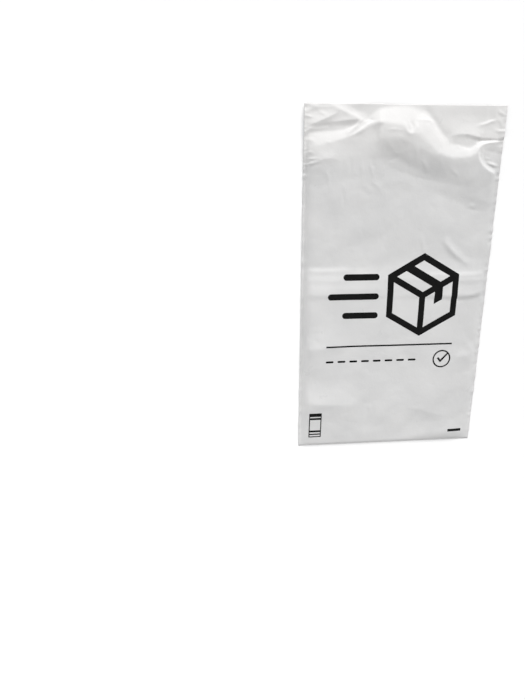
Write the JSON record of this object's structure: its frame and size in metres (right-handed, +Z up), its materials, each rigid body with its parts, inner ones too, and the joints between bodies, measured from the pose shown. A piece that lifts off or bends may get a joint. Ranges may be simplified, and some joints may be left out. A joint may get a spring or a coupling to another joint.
{
  "type": "poly mailer bag",
  "caption": "Flat white film mailing bag with a folded bottom, welded sides, an open mouth and a flap that carries a covered glue strip, lying print side up.",
  "frame": {"origin": "under the middle of the bag, on the surface it lies on", "axes": "+Z up from the surface, +Y along the bag from the folded bottom to the flap, +X to the right seen from above"},
  "size_m": [0.2, 0.355, 0.008],
  "materials": {
    "film": "white polyethylene film, softly glossy, with fine creases",
    "glue": "clear pressure-sensitive glue",
    "liner": "smooth translucent release film",
    "ink": "black flexographic ink, slightly less glossy than the film"
  },
  "bodies": {
    "root": {"bag_film": "film", "glue_strip": "glue", "release_liner": "liner", "ink_parcel": "ink", "ink_speed_bar_1": "ink", "ink_speed_bar_2": "ink", "ink_speed_bar_3": "ink", "ink_rule": "ink", "ink_ring": "ink", "ink_dash_1": "ink", "ink_dash_2": "ink", "ink_dash_3": "ink", "ink_dash_4": "ink", "ink_dash_5": "ink", "ink_dash_6": "ink", "ink_dash_7": "ink", "ink_dash_8": "ink", "ink_panel": "ink", "ink_register_mark": "ink"}
  },
  "joints": []
}
